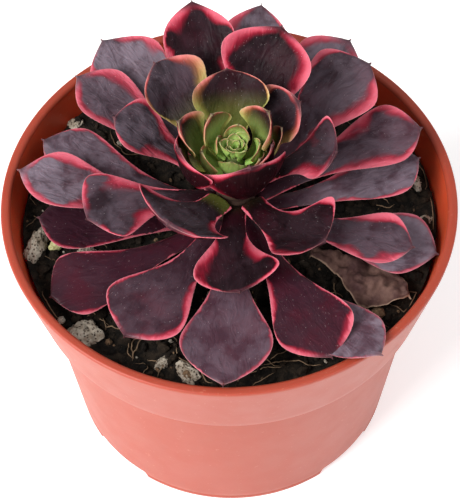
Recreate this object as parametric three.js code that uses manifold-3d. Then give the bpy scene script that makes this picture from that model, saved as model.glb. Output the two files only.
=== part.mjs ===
// Potted rosette succulent: a dark red leafed plant in a thin-walled plastic
// grower's pot filled with peaty compost and a few crumbs of pumice.
// Millimetres, +Z up, the pot stands on z = 0 and is centred on the Z axis.

import * as THREE from 'three';
import { mergeVertices } from 'three/addons/utils/BufferGeometryUtils.js';
import Module from 'manifold-3d';

const wasm = await Module();
wasm.setup();

// ---------------------------------------------------------------- dimensions

const GAP = 0.3;
const CUT_GAP = 0.5;

const POT_HEIGHT = 73;
const RIM_RADIUS = 52.5;
const RIM_INNER_RADIUS = 50.2;
const COLLAR_BOTTOM_HEIGHT = 51;
const COLLAR_BOTTOM_RADIUS = 47.8;
const BODY_TOP_RADIUS = 45.4;
const FOOT_RADIUS = 39.9;
const WALL = 1.2;
const FOOT_HEIGHT = 2.4;
const FLOOR_TOP = 4;
const FOOT_GAP_ANGLE = 0.2;
const FOOT_GAP_COUNT = 4;
const LIP_ROUND = 0.6;
const DRAIN_RADIUS = 4;
const DRAIN_CIRCLE = 27;
const DRAIN_COUNT = 6;

const SOIL_HEIGHT = 64;
const SOIL_MOUND = 0.6;
const SOIL_CLEARANCE = GAP + 0.1;
const STEM_DEPTH = 6;

const STEM_X = 1.5;
const STEM_Y = -1;
const STEM_RADIUS = 4.6;
const STEM_SHOULDER = 80;
const STEM_TOP = 90;
const STEM_TOP_RADIUS = 1.2;

// ------------------------------------------------------------------ materials

function material(colour, roughness) {
  return new THREE.MeshStandardMaterial({ color: colour, roughness: roughness, metalness: 0 });
}

const POT_COLOUR = 0xd8765c;
const SOIL_COLOUR = 0x1b1613;
const STEM_COLOUR = 0x4a3a26;
const OUTER_COLOUR = 0x55303c;
const MIDDLE_COLOUR = 0x4c2430;
const INNER_COLOUR = 0x59402e;
const HEART_COLOUR = 0x93b25e;
const DRIED_COLOUR = 0x6b4a3c;
const PUMICE_COLOUR = 0xc9c0b2;
const FALLEN_COLOUR = 0xb5b478;

const group = new THREE.Group();
group.name = 'potted_rosette';

// -------------------------------------------------------- solids and booleans

function toSolid(geometry) {
  const bare = geometry.clone();
  bare.deleteAttribute('normal');
  bare.deleteAttribute('uv');
  const merged = mergeVertices(bare, 1e-5);
  return new wasm.Manifold(new wasm.Mesh({
    numProp: 3,
    vertProperties: new Float32Array(merged.attributes.position.array),
    triVerts: new Uint32Array(merged.index.array),
  }));
}

function largestPiece(solid) {
  const pieces = solid.decompose();
  pieces.sort((a, b) => b.volume() - a.volume());
  return pieces[0];
}

function toGeometry(solid) {
  const mesh = solid.getMesh();
  const geometry = new THREE.BufferGeometry();
  geometry.setAttribute('position', new THREE.BufferAttribute(new Float32Array(mesh.vertProperties), 3));
  geometry.setIndex(new THREE.BufferAttribute(new Uint32Array(mesh.triVerts), 1));
  geometry.computeVertexNormals();
  return geometry;
}

function addPiece(name, geometry, colour, roughness) {
  const mesh = new THREE.Mesh(geometry, material(colour, roughness));
  mesh.name = name;
  group.add(mesh);
}

// A ring or disc turned about the Z axis from radius, height pairs.
function turned(points, segments) {
  const profile = points.map(([radius, height]) => new THREE.Vector2(radius, height));
  const geometry = new THREE.LatheGeometry(profile, segments);
  geometry.rotateX(Math.PI / 2);
  return geometry;
}

// ----------------------------------------------------------------------- stem

// The stem is straight up to its shoulder and then tapers to the growing point.
function stemRadius(height) {
  const t = Math.max(0, (height - STEM_SHOULDER) / (STEM_TOP - STEM_SHOULDER));
  return STEM_RADIUS + (STEM_TOP_RADIUS - STEM_RADIUS) * Math.min(1, t);
}

function stemGeometry(grow) {
  const bottom = SOIL_HEIGHT - STEM_DEPTH + GAP - grow;
  const geometry = turned([
    [0, bottom],
    [STEM_RADIUS + grow, bottom],
    [STEM_RADIUS + grow, STEM_SHOULDER],
    [STEM_TOP_RADIUS + grow, STEM_TOP + grow],
    [0, STEM_TOP + grow],
  ], 16);
  geometry.translate(STEM_X, STEM_Y, 0);
  return geometry;
}

// --------------------------------------------------------------------- leaves

// Every leaf grows from the stem, leans out along its compass direction and
// curves up to its tip.  az: direction in degrees, from +X towards +Y.
// root: height on the stem.  rise: lean at the root in degrees.
// reach, tip: distance from the stem axis and height of the tip.
// width: full width.  cup: how far the edges curl up, in degrees.
// sway: how far the midrib bows sideways.  widest: where the width peaks, 0 to 1.
const OUTER_LEAVES = [
  { az: 266, root: 70, rise: 2, reach: 51, tip: 74.8, width: 20.5, cup: 16, sway: 0, widest: 0.74 },
  { az: 235, root: 70, rise: 6, reach: 44, tip: 72, width: 20, cup: 22, sway: 0.5, widest: 0.8 },
  { az: 295, root: 71.5, rise: 6, reach: 48, tip: 73.6, width: 18, cup: 16, sway: 0, widest: 0.8 },
  { az: 305, root: 66.5, rise: 0, reach: 54, tip: 76, width: 15.5, cup: 12, sway: -1.5, widest: 0.8 },
  { az: 338, root: 71, rise: 10, reach: 43, tip: 76, width: 14.5, cup: 24, sway: -1, widest: 0.8 },
  { az: 343, root: 67, rise: 2, reach: 48, tip: 70, width: 17, cup: 12, sway: 1, widest: 0.8 },
  { az: 208, root: 67, rise: 4, reach: 48, tip: 68, width: 17, cup: 14, sway: 1, widest: 0.84 },
  { az: 182, root: 67, rise: 4, reach: 46, tip: 70, width: 17, cup: 14, sway: 2, widest: 0.8 },
  { az: 173, root: 70, rise: 10, reach: 50.5, tip: 78, width: 15.5, cup: 22, sway: 2, widest: 0.78 },
  { az: 159, root: 67.5, rise: 8, reach: 48.5, tip: 75, width: 15, cup: 16, sway: 1, widest: 0.8 },
  { az: 142, root: 72, rise: 16, reach: 47, tip: 84, width: 15.5, cup: 22, sway: -1, widest: 0.8 },
  { az: 128, root: 69, rise: 14, reach: 51, tip: 84, width: 20, cup: 22, sway: -1, widest: 0.8 },
  { az: 117, root: 67.2, rise: 8, reach: 40, tip: 77, width: 13, cup: 16, sway: 0, widest: 0.8 },
  { az: 81, root: 70, rise: 24, reach: 45, tip: 91, width: 16, cup: 20, sway: 1, widest: 0.8 },
  { az: 54, root: 69, rise: 18, reach: 48, tip: 84, width: 18, cup: 20, sway: 2, widest: 0.82 },
  { az: 41, root: 73, rise: 20, reach: 42.5, tip: 88, width: 20, cup: 24, sway: 1.5, widest: 0.82 },
  { az: 17, root: 72, rise: 12, reach: 45.3, tip: 82, width: 17.5, cup: 24, sway: 1.5, widest: 0.82 },
  { az: 12, root: 69, rise: 8, reach: 44, tip: 76, width: 16, cup: 18, sway: -1.5, widest: 0.8 },
];

const MIDDLE_LEAVES = [
  { az: 271, root: 76, rise: 14, reach: 29, tip: 78, width: 20, cup: 34, sway: -1.2, widest: 0.82 },
  { az: 314, root: 77, rise: 12, reach: 28, tip: 85, width: 22, cup: 36, sway: -1.5, widest: 0.82 },
  { az: 196, root: 75, rise: 8, reach: 35, tip: 80, width: 19, cup: 26, sway: -2.5, widest: 0.82 },
  { az: 229, root: 78, rise: 12, reach: 23, tip: 88, width: 26, cup: 32, sway: 0, widest: 0.82 },
  { az: 160, root: 78, rise: 24, reach: 29, tip: 92, width: 15, cup: 36, sway: -1, widest: 0.8 },
  { az: 357, root: 80, rise: 24, reach: 22.5, tip: 92, width: 17, cup: 40, sway: 2, widest: 0.88 },
  { az: 131, root: 79, rise: 36, reach: 27.5, tip: 98, width: 19, cup: 46, sway: -1, widest: 0.78 },
  { az: 104, root: 77, rise: 34, reach: 38.5, tip: 100.5, width: 17.5, cup: 36, sway: 1, widest: 0.76 },
  { az: 69, root: 78, rise: 34, reach: 31.5, tip: 100, width: 23.5, cup: 44, sway: 1, widest: 0.76 },
  { az: 30, root: 82, rise: 44, reach: 17, tip: 98, width: 17, cup: 50, sway: 1.5, widest: 0.78 },
];

const INNER_LEAVES = [
  { az: 290, root: 83, rise: 15, reach: 9, tip: 97, width: 24, cup: 56, sway: 0, widest: 0.76 },
  { az: 200, root: 83, rise: 5, reach: 13, tip: 98.5, width: 18, cup: 60, sway: 0, widest: 0.76 },
  { az: 345, root: 84.5, rise: 25, reach: 8.5, tip: 96.5, width: 10, cup: 60, sway: 0, widest: 0.76 },
  { az: 95, root: 83, rise: 50, reach: 17, tip: 100, width: 22, cup: 70, sway: 0, widest: 0.74 },
  { az: 167, root: 84, rise: 40, reach: 12.5, tip: 99, width: 14, cup: 60, sway: 0, widest: 0.74 },
  { az: 25, root: 85, rise: 50, reach: 8, tip: 101, width: 15, cup: 70, sway: 0, widest: 0.74 },
  { az: 9, root: 84, rise: 30, reach: 10.5, tip: 97.5, width: 7, cup: 50, sway: 0, widest: 0.74 },
];

const HEART_LEAVES = [
  { az: 140, root: 85.5, rise: 45, reach: 6.4, tip: 99.5, width: 11, cup: 50, sway: 0, widest: 0.72 },
  { az: 200, root: 85.5, rise: 10, reach: 7.5, tip: 95, width: 9, cup: 60, sway: 0, widest: 0.72 },
  { az: 320, root: 85.5, rise: 10, reach: 7, tip: 94.5, width: 9, cup: 60, sway: 0, widest: 0.72 },
  { az: 75, root: 88, rise: 60, reach: 3.2, tip: 97, width: 7.5, cup: 70, sway: 0, widest: 0.7 },
  { az: 165, root: 87.8, rise: 30, reach: 3.8, tip: 95.5, width: 5, cup: 60, sway: 0, widest: 0.7 },
  { az: 350, root: 87.5, rise: 30, reach: 5.6, tip: 95.5, width: 7, cup: 60, sway: 0, widest: 0.7 },
  { az: 260, root: 87, rise: 10, reach: 4.6, tip: 93.5, width: 8, cup: 60, sway: 0, widest: 0.7 },
];

// A withered leaf that has dropped on the soil; from: where it starts.
const DRIED_LEAF = {
  az: 328, root: 66.4, rise: 12, from: 20, reach: 46, tip: 66.5, width: 14, cup: -40, sway: 0, widest: 0.6,
};

const BASE_WIDTH = 0.26;
const MUCRO = 0.16;
const NECK = 2;
const ACROSS = 10;
const ALONG = 9;
const UP = new THREE.Vector3(0, 0, 1);

// Half-outline of a leaf, 0 at the root and tip, 1 at the widest place.
function halfOutline(along, widest) {
  if (along < widest) {
    const s = (along / widest) ** NECK;
    return BASE_WIDTH + (1 - BASE_WIDTH) * s * s * (3 - 2 * s);
  }
  const t = (along - widest) / (1 - widest);
  const blade = Math.max(0, 1 - (t / 0.93) ** 2.1);
  return Math.cbrt(blade ** 3 + (MUCRO * (1 - t)) ** 3);
}

// Half-thickness in millimetres: fleshy at the root, thin towards the tip.
function halfThickness(along, width) {
  return (0.055 * width + 0.1) * (1 - 0.45 * along);
}

function leafGeometry(leaf, grow) {
  const azimuth = THREE.MathUtils.degToRad(leaf.az);
  const rise = THREE.MathUtils.degToRad(leaf.rise);
  const cup = THREE.MathUtils.degToRad(leaf.cup);
  const out = new THREE.Vector3(Math.cos(azimuth), Math.sin(azimuth), 0);
  const sideways = new THREE.Vector3(-Math.sin(azimuth), Math.cos(azimuth), 0);
  const from = leaf.from ?? stemRadius(leaf.root) + GAP;
  const start = out.clone().multiplyScalar(from).setZ(leaf.root);
  const end = out.clone().multiplyScalar(leaf.reach).setZ(leaf.tip);
  const arm = start.distanceTo(end) * 0.5;
  const bend = start.clone().addScaledVector(out, arm * Math.cos(rise));
  bend.addScaledVector(UP, arm * Math.sin(rise)).addScaledVector(sideways, 2 * leaf.sway);
  const line = new THREE.QuadraticBezierCurve3(start, bend, end);

  const geometry = new THREE.SphereGeometry(1, ACROSS, ALONG);
  const position = geometry.attributes.position;
  for (let i = 0; i < position.count; i += 1) {
    const u = (1 - position.getY(i)) / 2;
    const ring = Math.sqrt(Math.max(0, 1 - position.getY(i) ** 2));
    const c = ring > 1e-6 ? position.getX(i) / ring : 0;
    const s = ring > 1e-6 ? position.getZ(i) / ring : 0;

    const tangent = line.getTangent(u);
    const across = sideways.clone().addScaledVector(tangent, -tangent.dot(sideways)).normalize();
    const normal = new THREE.Vector3().crossVectors(tangent, across);

    const pole = Math.min(1, ring / 0.25);
    const outline = halfOutline(u, leaf.widest);
    const half = (leaf.width / 2) * outline * pole;
    const thick = (halfThickness(u, leaf.width) + grow) * pole;
    const curl = cup * Math.max(0.3, outline) + 1e-6;
    const radius = Math.max(half, 0.4) / curl;
    const angle = ((half + grow * pole) / radius) * c;
    const lift = thick * s * Math.sqrt(Math.max(0.05, 1 - 0.9 * c * c));
    const x = (radius - lift) * Math.sin(angle);
    const y = radius - (radius - lift) * Math.cos(angle);
    const point = line.getPoint(u);
    point.x += STEM_X;
    point.y += STEM_Y;
    point.addScaledVector(tangent, (u - 0.5) * 2 * grow);
    point.addScaledVector(across, x).addScaledVector(normal, y);
    position.setXYZ(i, point.x, point.y, point.z);
  }
  return geometry;
}

const placed = [toSolid(stemGeometry(GAP))];

// Cuts a leaf clear of everything already placed near it, then adds it.
function addLeaf(name, leaf, colour) {
  let solid = toSolid(leafGeometry(leaf, 0));
  if (solid.volume() < 0) {
    throw new Error('leaf turned inside out');
  }
  for (const other of placed) {
    solid = solid.subtract(other);
  }
  solid = largestPiece(solid);
  placed.push(toSolid(leafGeometry(leaf, CUT_GAP)));
  addPiece(name, toGeometry(solid), colour, 0.5);
}

// ------------------------------------------------------------------------ pot

function buildPot() {
  const inner = FOOT_RADIUS - WALL;
  const shell = toSolid(turned([
    [0, FOOT_HEIGHT],
    [inner, FOOT_HEIGHT],
    [inner - 0.2, 0],
    [FOOT_RADIUS, 0],
    [BODY_TOP_RADIUS, COLLAR_BOTTOM_HEIGHT],
    [COLLAR_BOTTOM_RADIUS, COLLAR_BOTTOM_HEIGHT],
    [RIM_RADIUS, POT_HEIGHT - LIP_ROUND],
    [RIM_RADIUS - LIP_ROUND, POT_HEIGHT],
    [RIM_INNER_RADIUS + LIP_ROUND, POT_HEIGHT],
    [RIM_INNER_RADIUS, POT_HEIGHT - LIP_ROUND],
    [COLLAR_BOTTOM_RADIUS - WALL, COLLAR_BOTTOM_HEIGHT + WALL],
    [BODY_TOP_RADIUS - WALL, COLLAR_BOTTOM_HEIGHT - 0.4],
    [inner + 0.5, FLOOR_TOP],
    [0, FLOOR_TOP],
  ], 48));
  let pot = shell;
  for (let i = 0; i < FOOT_GAP_COUNT; i += 1) {
    const angle = ((2 * i + 1) * Math.PI) / FOOT_GAP_COUNT;
    const notch = new THREE.BoxGeometry(12, 2 * FOOT_RADIUS * Math.sin(FOOT_GAP_ANGLE), 2 * FOOT_HEIGHT);
    notch.translate(FOOT_RADIUS, 0, 0);
    notch.rotateZ(angle);
    pot = pot.subtract(toSolid(notch));
  }
  for (let i = 0; i < DRAIN_COUNT; i += 1) {
    const angle = (i * 2 * Math.PI) / DRAIN_COUNT;
    const drain = new THREE.CylinderGeometry(DRAIN_RADIUS, DRAIN_RADIUS, 8, 12);
    drain.rotateX(Math.PI / 2);
    drain.translate(DRAIN_CIRCLE * Math.cos(angle), DRAIN_CIRCLE * Math.sin(angle), FLOOR_TOP - 1);
    pot = pot.subtract(toSolid(drain));
  }
  addPiece('pot', toGeometry(pot), POT_COLOUR, 0.5);
}

// --------------------------------------------------------- crumbs on the soil

// Crumbs of pumice half sunk in the soil: place, height, half-sizes and turn.
const CRUMBS = [
  { name: 'pumice_left', x: -45, y: -7, z: 65, size: [3.8, 2, 2.2], turn: 70 },
  { name: 'pumice_left_small', x: -33, y: -8.6, z: 64.6, size: [1.9, 1.2, 1.1], turn: 20 },
  { name: 'pumice_back_left', x: -36.4, y: 28.2, z: 64.6, size: [2, 2, 1.7], turn: 30 },
  { name: 'pumice_front_left', x: -33, y: -31, z: 64.4, size: [3.4, 2.8, 1.6], turn: 35 },
  { name: 'pumice_front_a', x: -15.4, y: -39, z: 64.4, size: [2.2, 1.3, 1.4], turn: 40 },
  { name: 'pumice_front_b', x: -9.8, y: -42.2, z: 64.6, size: [2.8, 1.7, 1.6], turn: -40 },
  { name: 'pumice_right', x: 43.8, y: 9.6, z: 64.8, size: [1.7, 2.6, 1.9], turn: 10 },
  { name: 'pumice_right_front', x: 45.6, y: -2, z: 64.4, size: [1.8, 1.6, 1.3], turn: 30 },
  { name: 'fallen_bud', x: -40, y: -7, z: 65.2, size: [1.9, 1.2, 1.3], turn: 30 },
];

function crumbGeometry(crumb, grow) {
  const geometry = new THREE.IcosahedronGeometry(1, 1);
  const position = geometry.attributes.position;
  for (let i = 0; i < position.count; i += 1) {
    const x = position.getX(i);
    const y = position.getY(i);
    const z = position.getZ(i);
    const bump = 1 + 0.12 * Math.sin(4 * x + 3 * y + crumb.turn) * Math.cos(5 * z - 2 * x);
    position.setXYZ(
      i,
      x * bump * crumb.size[0] + x * grow,
      y * bump * crumb.size[1] + y * grow,
      z * bump * crumb.size[2] + z * grow,
    );
  }
  geometry.rotateZ(THREE.MathUtils.degToRad(crumb.turn));
  geometry.translate(crumb.x, crumb.y, crumb.z);
  return geometry;
}

// ----------------------------------------------------------------------- soil

function buildSoil() {
  let soil = toSolid(turned([
    [0, FLOOR_TOP + GAP],
    [FOOT_RADIUS - WALL + 0.1, FLOOR_TOP + GAP],
    [BODY_TOP_RADIUS - WALL - SOIL_CLEARANCE, COLLAR_BOTTOM_HEIGHT - 0.2],
    [COLLAR_BOTTOM_RADIUS - WALL - SOIL_CLEARANCE, COLLAR_BOTTOM_HEIGHT + WALL + GAP],
    [48.1, SOIL_HEIGHT - 1],
    [47.2, SOIL_HEIGHT],
    [34, SOIL_HEIGHT + 0.3],
    [12, SOIL_HEIGHT + SOIL_MOUND],
    [0, SOIL_HEIGHT + SOIL_MOUND],
  ], 32));
  const pit = new THREE.CylinderGeometry(STEM_RADIUS + GAP, STEM_RADIUS + GAP, 2 * STEM_DEPTH, 16);
  pit.rotateX(Math.PI / 2);
  pit.translate(STEM_X, STEM_Y, SOIL_HEIGHT);
  soil = soil.subtract(toSolid(pit));
  for (const crumb of CRUMBS) {
    soil = soil.subtract(toSolid(crumbGeometry(crumb, GAP)));
    const solid = toSolid(crumbGeometry(crumb, 0));
    const colour = crumb.name === 'fallen_bud' ? FALLEN_COLOUR : PUMICE_COLOUR;
    addPiece(crumb.name, toGeometry(solid), colour, 0.95);
  }
  addPiece('soil', toGeometry(largestPiece(soil)), SOIL_COLOUR, 1);
}

// ------------------------------------------------------------------- assembly

function label(number) {
  return String(number + 1).padStart(2, '0');
}

HEART_LEAVES.forEach((leaf, i) => {
  addLeaf('heart_leaf_' + label(i), leaf, HEART_COLOUR);
});
INNER_LEAVES.forEach((leaf, i) => {
  addLeaf('inner_leaf_' + label(i), leaf, INNER_COLOUR);
});
MIDDLE_LEAVES.forEach((leaf, i) => {
  addLeaf('middle_leaf_' + label(i), leaf, MIDDLE_COLOUR);
});
OUTER_LEAVES.forEach((leaf, i) => {
  addLeaf('outer_leaf_' + label(i), leaf, OUTER_COLOUR);
});
addLeaf('dried_leaf', DRIED_LEAF, DRIED_COLOUR);
buildPot();
buildSoil();
addPiece('stem', stemGeometry(0), STEM_COLOUR, 0.8);

export default group;
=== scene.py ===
import math

import bpy
import numpy as np
from mathutils import Matrix, Vector


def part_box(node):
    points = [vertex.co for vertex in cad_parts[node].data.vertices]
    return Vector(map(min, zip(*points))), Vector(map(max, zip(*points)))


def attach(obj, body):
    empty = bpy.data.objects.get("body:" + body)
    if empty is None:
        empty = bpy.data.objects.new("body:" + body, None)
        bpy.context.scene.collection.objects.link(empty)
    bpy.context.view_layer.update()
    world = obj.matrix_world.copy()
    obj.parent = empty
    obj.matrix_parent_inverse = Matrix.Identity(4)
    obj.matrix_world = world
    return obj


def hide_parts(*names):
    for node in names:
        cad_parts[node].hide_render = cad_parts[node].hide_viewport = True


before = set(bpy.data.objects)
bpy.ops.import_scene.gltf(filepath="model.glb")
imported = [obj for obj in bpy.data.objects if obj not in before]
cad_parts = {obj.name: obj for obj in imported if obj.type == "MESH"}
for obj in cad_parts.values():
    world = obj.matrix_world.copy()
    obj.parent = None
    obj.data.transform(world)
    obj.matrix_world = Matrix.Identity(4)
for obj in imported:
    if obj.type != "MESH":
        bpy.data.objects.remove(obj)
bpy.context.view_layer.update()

# ---------------------------------------------------------------- plastic pot
# A round grower's pot of thin orange polypropylene, injection moulded in one
# piece: tapered body, flared collar with a flat lip, drained floor, and a low
# foot ring broken by four gaps.  All sizes are in millimetres.

MM = 0.001


def box_mm(node):
    """A CAD node's lowest and highest corners in millimetres, to the micron."""
    return np.round(np.array(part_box(node)) / MM, 3)


RIM_RADIUS, _, POT_HEIGHT = box_mm("pot")[1]
LIP_INNER_RADIUS = RIM_RADIUS - 2.3
COLLAR_HEIGHT = POT_HEIGHT - 22.0
COLLAR_RADIUS = 47.8
BODY_RADIUS = 45.4
FOOT_RADIUS = 39.9
WALL = 1.2
FOOT_HEIGHT = 2.4
FLOOR_TOP = 4.0
FOOT_GAPS = 4
FOOT_GAP_HALF = 0.2
CORNER_ROUND = 0.35
POT_AROUND = 384
DRAIN_RADIUS = 4.0
DRAIN_CIRCLE = 27.0
DRAIN_COUNT = 6


def rounded(corners, radius, steps=4):
    """A polyline whose corners are replaced by short curves: each corner P is
    cut back by radius along both sides and the two cuts are joined by the
    parabola (1-t)^2 A + 2t(1-t) P + t^2 B."""
    corners = np.array(corners, float)
    before, corner, after = corners[:-2], corners[1:-1], corners[2:]

    def cut(other):
        side = other - corner
        length = np.linalg.norm(side, axis=1, keepdims=True)
        return corner + side / length * np.minimum(radius, 0.45 * length)

    a, b = cut(before), cut(after)
    t = np.linspace(0, 1, steps)[None, :, None]
    curve = (1 - t) ** 2 * a[:, None] + 2 * t * (1 - t) * corner[:, None] + t**2 * b[:, None]
    return np.concatenate([corners[:1], curve.reshape(-1, 2), corners[-1:]])


def filled(profile, step):
    """The same polyline with no gap between points longer than step."""
    pieces = []
    for a, b in zip(profile[:-1], profile[1:]):
        count = max(1, int(math.ceil(np.linalg.norm(b - a) / step)))
        pieces.append(a + (b - a) * np.linspace(0, 1, count, endpoint=False)[:, None])
    return np.concatenate(pieces + [profile[-1:]])


def make_mesh(name, points_mm, faces, smooth=True):
    """A mesh object at the origin from an n by 3 array in millimetres."""
    mesh = bpy.data.meshes.new(name)
    mesh.from_pydata((np.asarray(points_mm) * MM).tolist(), [], faces)
    mesh.polygons.foreach_set("use_smooth", [smooth] * len(mesh.polygons))
    mesh.validate()
    mesh.update()
    piece = bpy.data.objects.new(name, mesh)
    bpy.context.scene.collection.objects.link(piece)
    return piece


def ring_faces(rings, around, copies=1):
    """Faces of closed skins, one after another: each is a first pole, rings of
    points and a last pole.  In a skin, vertex 0 is the first pole and vertex
    1 + i * around + j is point j of ring i."""
    j = np.arange(around)
    k = (j + 1) % around
    ring = 1 + around * np.arange(rings)[:, None]
    end = 1 + rings * around
    first = np.stack([0 * j, 1 + k, 1 + j], -1)
    last = np.stack([ring[-1] + j, ring[-1] + k, 0 * j + end], -1)
    a, b = ring[:-1] + j, ring[:-1] + k
    body = np.stack([a, b, b + around, a + around], -1).reshape(-1, 4)
    start = (end + 1) * np.arange(copies)[:, None, None]
    caps = (np.concatenate([first, last]) + start).reshape(-1, 3)
    return caps.tolist() + (body + start).reshape(-1, 4).tolist()


def turned(profile, around):
    """A profile of radius, height pairs from axis to axis, turned about Z."""
    angle = np.linspace(0, 2 * math.pi, around, endpoint=False)
    radius, height = profile[1:-1, 0][:, None], profile[1:-1, 1][:, None]
    ring = np.stack([radius * np.cos(angle), radius * np.sin(angle), height + 0 * angle], -1)
    poles = np.array([[0, 0, profile[0, 1]], [0, 0, profile[-1, 1]]])
    points = np.concatenate([poles[:1], ring.reshape(-1, 3), poles[1:]])
    return points, ring_faces(len(profile) - 2, around)


def pot_piece():
    """The turned pot with its foot gaps: points of the foot that lie inside a
    gap's angle are lifted to the floor's underside by a steep smooth step."""
    inner = FOOT_RADIUS - WALL
    under_and_foot = [
        (0, FOOT_HEIGHT), (inner, FOOT_HEIGHT), (inner - 0.2, 0.05), (FOOT_RADIUS, 0),
        (FOOT_RADIUS + 0.15, 1.2), (FOOT_RADIUS + 0.05, 1.5), (FOOT_RADIUS + 0.35, FOOT_HEIGHT + 0.6),
    ]
    body_and_collar = [
        (BODY_RADIUS, COLLAR_HEIGHT), (COLLAR_RADIUS, COLLAR_HEIGHT), (RIM_RADIUS, POT_HEIGHT - 0.7),
        (RIM_RADIUS - 0.15, POT_HEIGHT - 0.1), (RIM_RADIUS - 0.8, POT_HEIGHT),
    ]
    lip_and_inside = [
        (LIP_INNER_RADIUS + 0.6, POT_HEIGHT), (LIP_INNER_RADIUS, POT_HEIGHT - 0.5),
        (LIP_INNER_RADIUS - 0.05, POT_HEIGHT - 1.4), (COLLAR_RADIUS - 1.4, COLLAR_HEIGHT + 1.3),
        (BODY_RADIUS - WALL, COLLAR_HEIGHT - 0.4), (inner + 0.5, FLOOR_TOP), (0, FLOOR_TOP),
    ]
    profile = filled(rounded(under_and_foot + body_and_collar + lip_and_inside, CORNER_ROUND), 2.0)
    points, faces = turned(profile, POT_AROUND)
    angle = np.arctan2(points[:, 1], points[:, 0])
    spacing = 2 * math.pi / FOOT_GAPS
    off = np.abs(angle % spacing - spacing / 2)
    gap = np.clip((FOOT_GAP_HALF - off) / 0.02 + 0.5, 0, 1)
    gap = gap * gap * (3 - 2 * gap)
    low = (points[:, 2] < FOOT_HEIGHT) & (points[:, 0] ** 2 + points[:, 1] ** 2 > (inner - 1) ** 2)
    points[low, 2] += (gap * (FOOT_HEIGHT - 0.1 - points[:, 2]))[low]
    return make_mesh("grower_pot", points, faces)


def drill(piece, centres, radius, low, high):
    """Round holes along Z, cut through a piece by one exact boolean: at each
    centre stands a drum, two circles joined by a band and closed by two discs."""
    around = 32
    turn = np.linspace(0, 2 * math.pi, around, endpoint=False)
    circle = centres[:, None] + radius * np.stack([np.cos(turn), np.sin(turn)], -1)
    ends = [np.concatenate([circle, np.full_like(circle[..., :1], z)], -1) for z in (low, high)]
    start = 2 * around * np.arange(len(centres))[:, None]
    j = np.arange(around)
    k = (j + 1) % around
    band = np.stack([j, k, k + around, j + around], -1) + start[..., None]
    discs = np.concatenate([j[::-1] + start, j + around + start])
    points = np.stack(ends, 1).reshape(-1, 3)
    cutter = make_mesh("hole_cutter", points, discs.tolist() + band.reshape(-1, 4).tolist(), smooth=False)
    cut = piece.modifiers.new("drainage_holes", "BOOLEAN")
    cut.operation = "DIFFERENCE"
    cut.solver = "EXACT"
    cut.object = cutter
    shown = piece.evaluated_get(bpy.context.evaluated_depsgraph_get())
    piece.data = bpy.data.meshes.new_from_object(shown)
    piece.modifiers.clear()
    bpy.data.objects.remove(cutter)


def new_finish(name, roughness, specular=0.5):
    """A material with its node tree and main shader."""
    finish = bpy.data.materials.new(name)
    finish.use_nodes = True
    shader = finish.node_tree.nodes["Principled BSDF"]
    shader.inputs["Roughness"].default_value = roughness
    shader.inputs["Specular IOR Level"].default_value = specular
    return finish, finish.node_tree, shader


def put(tree, kind, inputs=None, **settings):
    """Adds a node. inputs gives a socket's value, or another node's output."""
    node = tree.nodes.new("ShaderNode" + kind)
    for key, value in settings.items():
        setattr(node, key, value)
    for key, value in (inputs or {}).items():
        if isinstance(value, bpy.types.NodeSocket):
            tree.links.new(value, node.inputs[key])
        else:
            node.inputs[key].default_value = value
    return node


def calc(tree, operation, a, b=0.0, c=0.0):
    """One sum on two or three numbers or outputs."""
    return put(tree, "Math", {0: a, 1: b, 2: c}, operation=operation).outputs[0]


def fade(tree, value, low, high, start=0.0, end=1.0):
    """Goes smoothly from start to end as value goes from low to high."""
    inputs = {0: value, 1: low, 2: high, 3: start, 4: end}
    return put(tree, "MapRange", inputs, interpolation_type="SMOOTHSTEP").outputs[0]


def blend(tree, amount, a, b, how="MIX"):
    """Colour a turned into colour b by amount."""
    inputs = {0: amount, 6: a, 7: b}
    return put(tree, "Mix", inputs, data_type="RGBA", blend_type=how).outputs[2]


def grain(tree, where, scale, detail=4.0, rough=0.55, twist=0.0):
    """Cloudy noise from 0 to 1 about 0.5, scale clouds to a unit of where, with
    its own swirls by twist."""
    inputs = {"Vector": where, "Scale": scale, "Detail": detail, "Roughness": rough, "Distortion": twist}
    return put(tree, "TexNoise", inputs).outputs[0]


def raise_from(tree, shader, height, strength, distance, under=None):
    """Bumps the surface by a height, on top of another bump if there is one."""
    inputs = {"Height": height, "Strength": strength, "Distance": distance}
    if under is not None:
        inputs["Normal"] = under
    bump = put(tree, "Bump", inputs).outputs[0]
    tree.links.new(bump, shader.inputs["Normal"])
    return bump


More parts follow.
